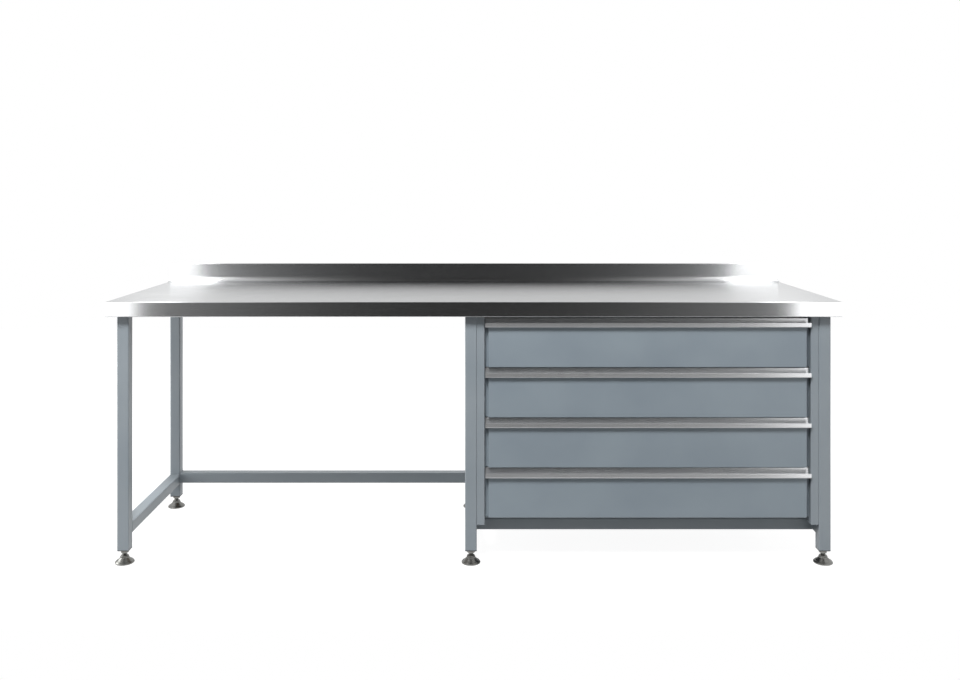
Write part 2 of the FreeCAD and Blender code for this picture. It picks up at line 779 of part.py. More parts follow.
def foot_stud(doc, s, at, row, side):
    """Stud with a spindle in the base, a collar on the neck and a long threaded shank."""
    body = new_body(doc, f"foot_{row}_{side}_stud")
    profile = [
        (0, s.socket_floor),
        (s.spindle / 2, s.socket_floor),
        (s.spindle / 2, s.base_height),
        (s.collar / 2, s.base_height),
        (s.collar / 2, s.base_height + s.collar_height),
        (s.stud / 2, s.base_height + s.collar_height),
        (s.stud / 2, s.stud_top, Bevel(s.edge_break)),
        (0, s.stud_top),
    ]
    revolve(body, outline(body, "XZ", profile))
    place(body, at.leg_x[side], at.leg_y[row], 0)
    return body


def build_bench(doc, s, at):
    """Every node of the bench, in the order in which it is put together."""
    nodes = [worktop_skin(doc, s, at), worktop_core(doc, s, at)]
    nodes += legs(doc, s, at)
    nodes += top_rails(doc, s, at)
    nodes += stretchers(doc, s, at)
    nodes += cabinet_rails(doc, s, at)
    nodes += cabinet_sides(doc, s, at)
    nodes += [cabinet_bottom(doc, s, at), cabinet_back(doc, s, at)]
    fixed = []
    for number in range(1, DRAWERS + 1):
        fixed += runner_pair(doc, s, at, number, "fixed_member", fixed_member(s))
        middle = list(runner_pair(doc, s, at, number, "middle_member", middle_member(s)))
        moving = list(runner_pair(doc, s, at, number, "drawer_member", drawer_member(s)))
        nodes += [
            drawer_front(doc, s, at, number),
            drawer_grip(doc, s, at, number),
            drawer_box(doc, s, at, number),
            group(doc, f"drawer_{number}_runners", moving),
            group(doc, f"drawer_{number}_mid_runners", middle),
        ]
    nodes.append(group(doc, "cabinet_runners", fixed))
    nodes.append(group(doc, "foot_inserts", list(foot_inserts(doc, s, at))))
    nodes.append(group(doc, "foot_lock_nuts", list(lock_nuts(doc, s, at))))
    for row in at.leg_y:
        for side in SIDES:
            nodes.append(foot_base(doc, s, at, row, side))
            nodes.append(foot_stud(doc, s, at, row, side))
    return nodes


def check(doc, nodes):
    """Stop if any object failed or any node is not made of valid solids."""
    for item in doc.Objects:
        if "Invalid" in item.State or "Error" in item.State:
            raise RuntimeError(f"{item.Label} failed: {item.State}")
    for node in nodes:
        shape = node.Shape
        if shape.isNull() or not shape.isValid() or not shape.Solids:
            raise RuntimeError(f"{node.Label} is not a valid solid")


def main():
    doc = FreeCAD.newDocument("bench")
    table = WORKTOP_SIZES + FRAME_SIZES + CABINET_SIZES + DRAWER_SIZES + RUNNER_SIZES + FOOT_SIZES
    s = fill_sheet(doc, table)
    nodes = build_bench(doc, s, Layout(s))
    doc.recompute()
    check(doc, nodes)
    os.makedirs("parts", exist_ok=True)
    for node in nodes:
        node.Shape.exportStep(f"parts/{node.Label}.step")
        solids = node.Shape.Solids
        print(f"{node.Label}: {len(solids)} solid(s), {node.Shape.Volume / 1000:.1f} cm3")


main()
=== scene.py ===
import logging
import math
from collections.abc import Iterable, Sequence
from dataclasses import dataclass, field
from enum import Enum

import bpy
from mathutils import Matrix, Vector


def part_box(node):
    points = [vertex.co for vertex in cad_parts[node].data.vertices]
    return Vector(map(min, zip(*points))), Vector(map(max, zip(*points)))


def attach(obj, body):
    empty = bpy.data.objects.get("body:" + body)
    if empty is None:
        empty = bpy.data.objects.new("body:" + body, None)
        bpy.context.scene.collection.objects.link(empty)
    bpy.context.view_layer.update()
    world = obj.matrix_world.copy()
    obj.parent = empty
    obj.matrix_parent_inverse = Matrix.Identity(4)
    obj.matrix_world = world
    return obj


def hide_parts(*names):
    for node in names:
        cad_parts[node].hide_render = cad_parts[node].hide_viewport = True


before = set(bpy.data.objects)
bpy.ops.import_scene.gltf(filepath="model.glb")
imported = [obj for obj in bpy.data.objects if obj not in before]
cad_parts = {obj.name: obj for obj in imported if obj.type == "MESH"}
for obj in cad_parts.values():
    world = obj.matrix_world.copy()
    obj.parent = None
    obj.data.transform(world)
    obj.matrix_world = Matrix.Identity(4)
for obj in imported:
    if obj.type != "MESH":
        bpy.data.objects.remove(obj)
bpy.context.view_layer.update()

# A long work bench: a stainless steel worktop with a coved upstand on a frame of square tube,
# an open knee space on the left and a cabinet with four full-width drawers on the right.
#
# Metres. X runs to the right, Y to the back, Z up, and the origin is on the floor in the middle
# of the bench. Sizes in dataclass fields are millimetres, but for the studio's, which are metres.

MM = 0.001
IMAGE_WIDTH, IMAGE_HEIGHT = 960, 680
ROWS = ("front", "rear")
SIDES = ("left", "mid", "right")
DRAWERS = (1, 2, 3, 4)
FIXED_BODY = "bench"

# The part of 0 to 1 that nearly all of a noise lies in.
NOISE_LOW, NOISE_HIGH = 0.3, 0.7

# Faces of a weld's drop, and of a thread's turn and ridge.
DROP_SEGMENTS, DROP_RINGS = 8, 5
STEPS_PER_TURN = 20
RIDGE_SIDES = 4

LOG = logging.getLogger("bench")

Colour = tuple[float, float, float, float]
Profile = Sequence[tuple[float, float]]


# Shared helpers.

def linear(colour: str) -> Colour:
    """Turn an sRGB colour into linear light.

    Args:
        colour: Six hex digits after a hash.

    Returns:
        Red, green and blue from 0 to 1, and an alpha of 1.
    """
    channels = (int(colour[start:start + 2], 16) / 255 for start in (1, 3, 5))
    red, green, blue = (c / 12.92 if c <= 0.04045 else ((c + 0.055) / 1.055) ** 2.4
                        for c in channels)
    return red, green, blue, 1.0


def per_metre(size: float) -> float:
    """Texture scale that gives features of a size in millimetres."""
    return 1 / (size * MM)


def add_node(tree: bpy.types.NodeTree, kind: str, settings: dict | None = None,
             inputs: dict | None = None) -> bpy.types.Node:
    """Add a node to a tree, set it up and feed it.

    Args:
        tree: The tree that gets the node.
        kind: The node's type name.
        settings: Values for the node's own properties.
        inputs: For each input's name or index, a value or another node's output.

    Returns:
        The new node.
    """
    node = tree.nodes.new(kind)
    for name, value in (settings or {}).items():
        setattr(node, name, value)
    for key, value in (inputs or {}).items():
        if isinstance(value, bpy.types.NodeSocket):
            tree.links.new(value, node.inputs[key])
        else:
            node.inputs[key].default_value = value
    return node


# Finishes.

@dataclass(frozen=True)
class Finish:
    """A surface: what it is made of, and how it was worked."""

    name: str
    colour: str
    roughness: float

    def material(self) -> bpy.types.Material:
        """Build the finish.

        Returns:
            A new material whose patterns lie in the piece's own coordinates.
        """
        made = bpy.data.materials.new(self.name)
        made.use_nodes = True
        made.node_tree.nodes.clear()
        tree = made.node_tree
        shader = add_node(tree, "ShaderNodeBsdfPrincipled", inputs={
            "Base Color": linear(self.colour),
            "Roughness": self.roughness,
        })
        add_node(tree, "ShaderNodeOutputMaterial", inputs={"Surface": shader.outputs["BSDF"]})
        self.work(tree, add_node(tree, "ShaderNodeTexCoord").outputs["Object"], shader)
        return made

    def work(self, tree: bpy.types.NodeTree, place: bpy.types.NodeSocket,
             shader: bpy.types.Node) -> None:
        """Add what the finish's making leaves on the surface.

        Args:
            tree: The material's tree.
            place: The piece's own coordinates, in metres.
            shader: The surface shader to feed.
        """
        raise NotImplementedError

    def grain(self, tree: bpy.types.NodeTree, place: bpy.types.NodeSocket, size: Sequence[float],
              detail: float = 2.0) -> bpy.types.NodeSocket:
        """Noise with features of a given size.

        Args:
            tree: The material's tree.
            place: The piece's own coordinates.
            size: Length of a feature along X, Y and Z, in millimetres.
            detail: How much finer noise lies on it.

        Returns:
            A value that wanders round 0.5.
        """
        scaled = add_node(tree, "ShaderNodeMapping", inputs={
            "Vector": place, "Scale": [per_metre(length) for length in size]})
        noise = add_node(tree, "ShaderNodeTexNoise", inputs={
            "Vector": scaled.outputs["Vector"], "Scale": 1.0, "Detail": detail})
        return noise.outputs["Fac"]

    def spread(self, tree: bpy.types.NodeTree, source: bpy.types.NodeSocket, low: float,
               high: float) -> bpy.types.NodeSocket:
        """Map a noise's usual range onto two values.

        Args:
            tree: The material's tree.
            source: Noise that wanders round 0.5.
            low: Result where the noise is weak.
            high: Result where the noise is strong.

        Returns:
            The mapped value.
        """
        mapped = add_node(tree, "ShaderNodeMapRange", inputs={
            "Value": source,
            "From Min": NOISE_LOW, "From Max": NOISE_HIGH,
            "To Min": low, "To Max": high})
        return mapped.outputs["Result"]

    def tint(self, tree: bpy.types.NodeTree, amount: bpy.types.NodeSocket, first: str,
             second: str) -> bpy.types.NodeSocket:
        """Blend two colours.

        Args:
            tree: The material's tree.
            amount: 0 for the first colour, 1 for the second.
            first: sRGB hex colour.
            second: sRGB hex colour.

        Returns:
            The blended colour.
        """
        mix = add_node(tree, "ShaderNodeMix", {"data_type": "RGBA"}, {
            0: amount, 6: linear(first), 7: linear(second)})
        return mix.outputs[2]

    def relief(self, tree: bpy.types.NodeTree, height: bpy.types.NodeSocket, depth: float,
               shader: bpy.types.Node) -> None:
        """Raise the surface by a pattern.

        Args:
            tree: The material's tree.
            height: The pattern, from 0 to 1.
            depth: Its full height in millimetres.
            shader: The shader whose normal it turns.
        """
        bump = add_node(tree, "ShaderNodeBump", inputs={
            "Strength": 1.0, "Distance": depth * MM, "Height": height})
        tree.links.new(bump.outputs["Normal"], shader.inputs["Normal"])


@dataclass(frozen=True)
class PowderCoat(Finish):
    """Polyester powder, sprayed and baked: an even satin colour over a fine orange peel."""

    shade: str = "#808B94"
    peel: float = 2.4
    peel_depth: float = 0.03
    cloud: float = 260.0
    gloss_drift: float = 0.05
    ior: float = 1.5

    def work(self, tree: bpy.types.NodeTree, place: bpy.types.NodeSocket,
             shader: bpy.types.Node) -> None:
        """Orange peel, a slow drift of colour, and gloss that wanders with it.

        Args:
            tree: The material's tree.
            place: The piece's own coordinates, in metres.
            shader: The surface shader to feed.
        """
        cloud = self.grain(tree, place, [self.cloud] * 3, detail=3.0)
        colour = self.tint(tree, self.spread(tree, cloud, 0.0, 1.0), self.shade, self.colour)
        tree.links.new(colour, shader.inputs["Base Color"])
        peel = self.grain(tree, place, [self.peel] * 3, detail=1.0)
        low, high = self.roughness - self.gloss_drift, self.roughness + self.gloss_drift
        tree.links.new(self.spread(tree, peel, low, high), shader.inputs["Roughness"])
        shader.inputs["IOR"].default_value = self.ior
        self.relief(tree, peel, self.peel_depth, shader)


@dataclass(frozen=True)
class BrushedMetal(Finish):
    """Metal ground with a belt along its length: fine parallel lines that draw reflections out."""

    line: float = 0.7
    line_length: float = 90.0
    line_depth: float = 0.0015
    line_share: float = 0.6
    smear: float = 180.0
    smear_shade: str = "#C8C9CA"
    smear_share: tuple[float, float] = (0.1, 0.3)
    roughness_range: float = 0.02
    anisotropy: float = 1.0
    quarter_turn: float = 0.25
    metallic: float = 1.0

    def work(self, tree: bpy.types.NodeTree, place: bpy.types.NodeSocket,
             shader: bpy.types.Node) -> None:
        """Grinding lines, drawn wider than real so that they show, and a soft handling haze.

        Args:
            tree: The material's tree.
            place: The piece's own coordinates, in metres.
            shader: The surface shader to feed.
        """
        lines = self.grain(tree, place, [self.line_length, self.line, self.line], detail=3.0)
        haze = self.grain(tree, place, [self.smear * 2, self.smear, self.smear], detail=4.0)
        low, high = self.roughness - self.roughness_range, self.roughness + self.roughness_range
        mixed = add_node(tree, "ShaderNodeMath", {"operation": "MULTIPLY_ADD"}, {
            0: lines, 1: self.line_share, 2: self.spread(tree, haze, *self.smear_share)})
        tree.links.new(self.spread(tree, mixed.outputs[0], low, high), shader.inputs["Roughness"])
        colour = self.tint(tree, self.spread(tree, haze, 0.0, 1.0), self.colour, self.smear_shade)
        tree.links.new(colour, shader.inputs["Base Color"])
        shader.inputs["Metallic"].default_value = self.metallic
        shader.inputs["Anisotropic"].default_value = self.anisotropy
        shader.inputs["Anisotropic Rotation"].default_value = self.quarter_turn
        along = add_node(tree, "ShaderNodeCombineXYZ", inputs={"X": 1.0, "Y": 0.0, "Z": 0.0})
        tree.links.new(along.outputs["Vector"], shader.inputs["Tangent"])
        self.relief(tree, lines, self.line_depth, shader)


@dataclass(frozen=True)
class PlatedMetal(Finish):
    """Steel plated in a barrel: bright, with a faint cloudiness and small handling marks."""

    cloud: float = 14.0
    cloud_shade: str = "#9AA1A8"
    mark: float = 1.2
    mark_depth: float = 0.01
    roughness_range: float = 0.07

    def work(self, tree: bpy.types.NodeTree, place: bpy.types.NodeSocket,
             shader: bpy.types.Node) -> None:
        """Clouds in the plating and a fine tumbled surface.

        Args:
            tree: The material's tree.
            place: The piece's own coordinates, in metres.
            shader: The surface shader to feed.
        """
        cloud = self.grain(tree, place, [self.cloud] * 3, detail=4.0)
        colour = self.tint(tree, self.spread(tree, cloud, 0.0, 1.0), self.colour, self.cloud_shade)
        tree.links.new(colour, shader.inputs["Base Color"])
        low, high = self.roughness - self.roughness_range, self.roughness + self.roughness_range
        tree.links.new(self.spread(tree, cloud, low, high), shader.inputs["Roughness"])
        shader.inputs["Metallic"].default_value = 1.0
        self.relief(tree, self.grain(tree, place, [self.mark] * 3), self.mark_depth, shader)


@dataclass(frozen=True)
class MouldedPlastic(Finish):
    """Injection-moulded plastic with a spark-eroded grain from its tool."""

    grit: float = 0.8
    grit_depth: float = 0.03
    gloss_drift: float = 0.06

    def work(self, tree: bpy.types.NodeTree, place: bpy.types.NodeSocket,
             shader: bpy.types.Node) -> None:
        """The tool's grain, in the relief and the gloss.

        Args:
            tree: The material's tree.
            place: The piece's own coordinates, in metres.
            shader: The surface shader to feed.
        """
        grit = self.grain(tree, place, [self.grit] * 3, detail=3.0)
        low, high = self.roughness - self.gloss_drift, self.roughness + self.gloss_drift
        tree.links.new(self.spread(tree, grit, low, high), shader.inputs["Roughness"])
        self.relief(tree, grit, self.grit_depth, shader)


@dataclass(frozen=True)
class Chipboard(Finish):
    """Pressed wood chips: pale and dark flakes a few millimetres wide, lightly sanded."""

    flake: float = 5.0
    flake_shade: str = "#8E7454"
    flake_depth: float = 0.05

    def work(self, tree: bpy.types.NodeTree, place: bpy.types.NodeSocket,
             shader: bpy.types.Node) -> None:
        """Flakes with a colour each, and a fibrous relief between them.

        Args:
            tree: The material's tree.
            place: The piece's own coordinates, in metres.
            shader: The surface shader to feed.
        """
        flakes = add_node(tree, "ShaderNodeTexVoronoi", inputs={
            "Vector": place, "Scale": per_metre(self.flake)})
        shade = add_node(tree, "ShaderNodeSeparateColor", inputs={
            "Color": flakes.outputs["Color"]})
        colour = self.tint(tree, shade.outputs["Red"], self.colour, self.flake_shade)
        tree.links.new(colour, shader.inputs["Base Color"])
        length, width = self.flake / 2, self.flake / 4
        fibre = self.grain(tree, place, [length, width, width], detail=4.0)
        self.relief(tree, fibre, self.flake_depth, shader)


class Surface(Enum):
    """The bench's finishes, named as the record's slots are, but for the drawers' own paint."""

    STAINLESS = "stainless"
    CORE = "core_board"
    PAINT = "powder_coat"
    DRAWER_PAINT = "drawer_powder_coat"
    GRIP = "grip_metal"
    RUNNER = "runner_zinc"
    FOOT = "foot_steel"
    INSERT = "insert_plastic"


FINISHES: dict[Surface, Finish] = {
    # Austenitic stainless sheet, belt-ground: a soft grey mirror that is sharper along the lines.
    Surface.STAINLESS: BrushedMetal("brushed_stainless_steel", "#D0D1D2", 0.19),
    # Sanded particle board: straw-coloured chips, seen along its rear edge and from below.
    Surface.CORE: Chipboard("sanded_particle_board", "#B79A70", 0.75),
    # Blue-grey polyester powder coat on steel tube and sheet: an even, quiet satin.
    Surface.PAINT: PowderCoat("blue_grey_powder_coat", "#8F979D", 0.42, shade="#858E95"),
    # The same powder on the drawers, a shade deeper and bluer than on the frame.
    Surface.DRAWER_PAINT: PowderCoat("deeper_blue_grey_powder_coat", "#89949C", 0.42),
    # Extruded aluminium, etched and anodised: paler than the steel, with fine die lines.
    Surface.GRIP: BrushedMetal("satin_anodised_aluminium", "#DCDDDE", 0.28, line=0.5,
                               line_length=400.0, smear_shade="#D4D5D7", anisotropy=0.6,
                               metallic=0.75),
    # Cold-rolled steel with bright zinc plate: cool silver, faintly clouded.
    Surface.RUNNER: PlatedMetal("bright_zinc_plate", "#B4BAC1", 0.34),
    # Turned steel with satin nickel plate: a dull warm grey with soft, broad highlights.
    Surface.FOOT: PlatedMetal("satin_nickel_plate", "#868683", 0.34, cloud=22.0,
                              cloud_shade="#70706D"),
    # Nylon moulded in black, for the inserts: near black, with a soft sheen.
    Surface.INSERT: MouldedPlastic("moulded_black_nylon", "#17181A", 0.48),
}


@dataclass
class Workshop:
    """Makes pieces and gives them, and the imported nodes, their finishes."""

    materials: dict[Surface, bpy.types.Material] = field(default_factory=lambda: {
        surface: finish.material() for surface, finish in FINISHES.items()})

    def dress(self, nodes: Iterable[str], surface: Surface) -> None:
        """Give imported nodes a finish.

        Args:
            nodes: Names of the nodes.
            surface: The finish.
        """
        for name in nodes:
            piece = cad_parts[name]
            if not piece.material_slots:
                piece.data.materials.append(None)
            for slot in piece.material_slots:
                slot.material = self.materials[surface]
            LOG.info("dressed %s in %s", name, surface.value)

    def keep(self, name: str, mesh: bpy.types.Mesh,
             body: str) -> bpy.types.Object:
        """Make a mesh a piece of the bench.

        Args:
            name: The piece's name.
            mesh: Its mesh, in place and with its finish.
            body: The body that it rides on.

        Returns:
            The piece.
        """
        piece = bpy.data.objects.new(name, mesh)
        bpy.context.scene.collection.objects.link(piece)
        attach(piece, body)
        LOG.info("made %s: %d faces on %s", name, len(mesh.polygons), body)
        return piece

    def grow(self, name: str, tree: bpy.types.NodeTree, seed_mesh: bpy.types.Mesh, values: dict,
             surface: Surface, body: str) -> bpy.types.Object:
        """Run a geometry tree on a mesh and keep the result as a plain mesh.

        Args:
            name: The piece's name.
            tree: The geometry tree.
            seed_mesh: What the tree starts from.
            values: Values for the tree's named inputs.
            surface: The finish that the tree sets.
            body: The body that the piece rides on.

        Returns:
            The piece.
        """
        carrier = bpy.data.objects.new(f"{name}_seed", seed_mesh)
        bpy.context.scene.collection.objects.link(carrier)
        modifier = carrier.modifiers.new(tree.name, "NODES")
        modifier.node_group = tree
        fed = {**values, "Finish": self.materials[surface]}
        for item in tree.interface.items_tree:
            if item.in_out == "INPUT" and item.name in fed:
                modifier[item.identifier] = fed[item.name]
        bpy.context.view_layer.update()
        depsgraph = bpy.context.evaluated_depsgraph_get()
        mesh = bpy.data.meshes.new_from_object(carrier.evaluated_get(depsgraph))
        carrier.modifiers.remove(modifier)
        bpy.data.objects.remove(carrier)
        mesh.name = name
        return self.keep(name, mesh, body)


# Meshes and geometry trees.

def point_mesh(name: str, points: Sequence[Vector], facings: Sequence[Vector]) -> bpy.types.Mesh:
    """Loose points that each know which way a fastener on them faces.

    Args:
        name: The mesh's name.
        points: Places in metres.
        facings: One outward direction for each point.

    Returns:
        The mesh, with an attribute named facing.
    """
    mesh = bpy.data.meshes.new(name)
    mesh.from_pydata([tuple(point) for point in points], [], [])
    facing = mesh.attributes.new("facing", "FLOAT_VECTOR", "POINT")
    facing.data.foreach_set("vector", [value for direction in facings for value in direction])
    return mesh


def turned_mesh(name: str, profile: Profile, segments: int,
                centre: Vector = Vector()) -> bpy.types.Mesh:
    """Turn a profile round the upright axis into a closed mesh.

    Args:
        name: The mesh's name.
        profile: Radius and height of each ring in millimetres, from the lower pole upwards.
        segments: Sides of a ring.
        centre: Where the axis stands.

    Returns:
        The mesh. A ring with no radius is a pole.
    """
    points: list[Vector] = []
    rings: list[list[int]] = []
    for radius, height in profile:
        turns = segments if radius else 1
        rings.append(list(range(len(points), len(points) + turns)))
        for step in range(turns):
            angle = 2 * math.pi * step / turns
            spoke = Vector((math.cos(angle) * radius, math.sin(angle) * radius, height))
            points.append(centre + spoke * MM)
    faces = []
    for lower, upper in zip(rings, rings[1:]):
        for step in range(segments):
            corners = [ring[index % len(ring)] for ring, index in (
                (lower, step), (lower, step + 1), (upper, step + 1), (upper, step))]
            faces.append(list(dict.fromkeys(corners)))
    mesh = bpy.data.meshes.new(name)
    mesh.from_pydata([tuple(point) for point in points], [], faces)
    mesh.update()
    return mesh


def new_tree(name: str, sockets: dict[str, str]) -> tuple[bpy.types.NodeTree, bpy.types.Node]:
    """Start a geometry tree.

    Args:
        name: The tree's name.
        sockets: Socket type of each named input.

    Returns:
        The tree and its input node.
    """
    tree = bpy.data.node_groups.new(name, "GeometryNodeTree")
    tree.interface.new_socket("Geometry", in_out="INPUT", socket_type="NodeSocketGeometry")
    for label, kind in sockets.items():
        tree.interface.new_socket(label, in_out="INPUT", socket_type=kind)
    tree.interface.new_socket("Finish", in_out="INPUT", socket_type="NodeSocketMaterial")
    tree.interface.new_socket("Geometry", in_out="OUTPUT", socket_type="NodeSocketGeometry")
    return tree, add_node(tree, "NodeGroupInput")


def end_tree(tree: bpy.types.NodeTree, given: bpy.types.Node,
             geometry: bpy.types.NodeSocket) -> None:
    """Realize a tree's instances and give the result its finish.

    Args:
        tree: The tree.
        given: Its input node.
        geometry: What the tree made.
    """
    real = add_node(tree, "GeometryNodeRealizeInstances", inputs={"Geometry": geometry})
    finished = add_node(tree, "GeometryNodeSetMaterial", inputs={
        "Geometry": real.outputs["Geometry"], "Material": given.outputs["Finish"]})
    add_node(tree, "NodeGroupOutput", inputs={"Geometry": finished.outputs["Geometry"]})


def fastener_tree() -> bpy.types.NodeTree:
    """Set a fastener on each point, with its head the way that the point faces.

    Returns:
        A tree with the input Fastener.
    """
    tree, given = new_tree("set_fasteners", {"Fastener": "NodeSocketObject"})
    facing = add_node(tree, "GeometryNodeInputNamedAttribute", {"data_type": "FLOAT_VECTOR"}, {
        "Name": "facing"})
    turn = add_node(tree, "FunctionNodeAlignRotationToVector", {"axis": "Z"}, {
        "Vector": facing.outputs["Attribute"]})
    head = add_node(tree, "GeometryNodeObjectInfo", inputs={"Object": given.outputs["Fastener"]})
    points = add_node(tree, "GeometryNodeMeshToPoints", inputs={"Mesh": given.outputs["Geometry"]})
    set_on = add_node(tree, "GeometryNodeInstanceOnPoints", inputs={
        "Points": points.outputs["Points"],
        "Instance": head.outputs["Geometry"],
        "Rotation": turn.outputs["Rotation"],
    })
    end_tree(tree, given, set_on.outputs["Instances"])
    return tree


def weld_tree() -> bpy.types.NodeTree:
    """Lay a weld along each edge: one small drop of metal half over the last.

    Returns:
        A tree with the inputs Bead and Step, in metres.
    """
    tree, given = new_tree("lay_welds", {"Bead": "NodeSocketFloat", "Step": "NodeSocketFloat"})
    path = add_node(tree, "GeometryNodeMeshToCurve", inputs={"Mesh": given.outputs["Geometry"]})
    even = add_node(tree, "GeometryNodeResampleCurve", {"mode": "LENGTH"}, {
        "Curve": path.outputs["Curve"], "Length": given.outputs["Step"]})
    drop = add_node(tree, "GeometryNodeMeshUVSphere", inputs={
        "Segments": DROP_SEGMENTS, "Rings": DROP_RINGS, "Radius": given.outputs["Bead"]})
    laid = add_node(tree, "GeometryNodeInstanceOnPoints", inputs={
        "Points": even.outputs["Curve"], "Instance": drop.outputs["Mesh"]})
    end_tree(tree, given, laid.outputs["Instances"])
    return tree


def thread_tree() -> bpy.types.NodeTree:
    """Wind a screw thread round an upright axis and join it to the stud that it is cut on.

    Returns:
        A tree with the inputs Turns, Radius, Ridge and Length, and Start, the thread's lower
        end. Lengths are in metres.
    """
    sockets = {"Turns": "NodeSocketFloat", "Radius": "NodeSocketFloat", "Ridge": "NodeSocketFloat",
               "Length": "NodeSocketFloat", "Start": "NodeSocketVector"}
    tree, given = new_tree("wind_thread", sockets)
    helix = add_node(tree, "GeometryNodeCurveSpiral", inputs={
        "Resolution": STEPS_PER_TURN,
        "Rotations": given.outputs["Turns"],
        "Start Radius": given.outputs["Radius"],
        "End Radius": given.outputs["Radius"],
        "Height": given.outputs["Length"],
    })
    level = add_node(tree, "GeometryNodeSetCurveNormal", {"mode": "Z_UP"}, {
        "Curve": helix.outputs["Curve"]})
    ridge = add_node(tree, "GeometryNodeCurvePrimitiveCircle", inputs={
        "Resolution": RIDGE_SIDES, "Radius": given.outputs["Ridge"]})
    swept = add_node(tree, "GeometryNodeCurveToMesh", inputs={
        "Curve": level.outputs["Curve"],
        "Profile Curve": ridge.outputs["Curve"],
        "Fill Caps": True,
    })
    flat = add_node(tree, "GeometryNodeSetShadeSmooth", inputs={
        "Geometry": swept.outputs["Mesh"], "Shade Smooth": False})
    raised = add_node(tree, "GeometryNodeTransform", inputs={
        "Geometry": flat.outputs["Geometry"], "Translation": given.outputs["Start"]})
    joined = add_node(tree, "GeometryNodeJoinGeometry", inputs={
        "Geometry": given.outputs["Geometry"]})
    tree.links.new(raised.outputs["Geometry"], joined.inputs["Geometry"])
    end_tree(tree, given, joined.outputs["Geometry"])
    return tree


@dataclass
class Fasteners:
    """Small turned fasteners, each made once and set wherever it is used."""

    workshop: Workshop
    tree: bpy.types.NodeTree = field(default_factory=fastener_tree)
    segments: int = 12
    pan_radius: float = 4.5
    pan_height: float = 2.6
    recess_radius: float = 1.7
    rivet_radius: float = 4.0
    rivet_height: float = 1.3

    def pan_head(self) -> Profile:
        """A pan-head screw with a round-bottomed drive recess.

        Returns:
            Its profile, in millimetres.
        """
        radius, height, recess = self.pan_radius, self.pan_height, self.recess_radius
        return [(0, 0), (radius, 0), (radius, height * 0.4), (radius * 0.85, height * 0.8),
                (radius * 0.6, height), (recess, height), (recess * 0.8, height * 0.45),
                (0, height * 0.4)]

    def blind_rivet(self) -> Profile:
        """A domed blind rivet with the dimple that its broken mandrel leaves.

        Returns:
            Its profile, in millimetres.
        """
        radius, height = self.rivet_radius, self.rivet_height
        return [(0, 0), (radius, 0), (radius * 0.92, height * 0.5), (radius * 0.6, height * 0.95),
                (radius * 0.3, height), (radius * 0.22, height * 0.7), (0, height * 0.7)]

    def set_on(self, name: str, profile: Profile, spots: Sequence[tuple[Vector, Vector]],
               surface: Surface, body: str) -> None:
        """Set one kind of fastener on several spots.

        Args:
            name: The piece's name.
            profile: The fastener's turned profile.
            spots: Place and outward direction of each.
            surface: The fasteners' finish.
            body: The body that they ride on.
        """
        mesh = turned_mesh(f"{name}_head", profile, self.segments)
        head = bpy.data.objects.new(f"{name}_head", mesh)
        bpy.context.scene.collection.objects.link(head)
        points, facings = zip(*spots)
        seed = point_mesh(name, points, facings)
        self.workshop.grow(name, self.tree, seed, {"Fastener": head}, surface, body)
        bpy.data.objects.remove(head)


def between(low: float, high: float, count: int) -> list[float]:
    """Evenly spaced places, half a space in from both ends.

    Args:
        low: Start of the run.
        high: End of the run.
        count: How many places.

    Returns:
        The places.
    """
    return [low + (high - low) * (step + 0.5) / count for step in range(count)]


# Sub-assemblies.

@dataclass
class Worktop:
    """Folded stainless sheet on a board, screwed down from below through the top rails."""

    workshop: Workshop
    fasteners: Fasteners
    screws_per_rail: int = 4

    def dress(self) -> None:
        """Give the sheet and the board their finishes."""
        self.workshop.dress(["worktop_skin"], Surface.STAINLESS)
        self.workshop.dress(["worktop_core"], Surface.CORE)

    def build(self) -> None:
        """Set the screws that hold the worktop, under the long top rails."""
        spots = []
        down = Vector((0, 0, -1))
        for row in ROWS:
            for side in ("left", "right"):
                low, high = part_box(f"top_rail_{row}_{side}")
                for x in between(low.x, high.x, self.screws_per_rail):
                    spots.append((Vector((x, (low.y + high.y) / 2, low.z)), down))
        screw = self.fasteners.pan_head()
        self.fasteners.set_on("worktop_screws", screw, spots, Surface.RUNNER, FIXED_BODY)


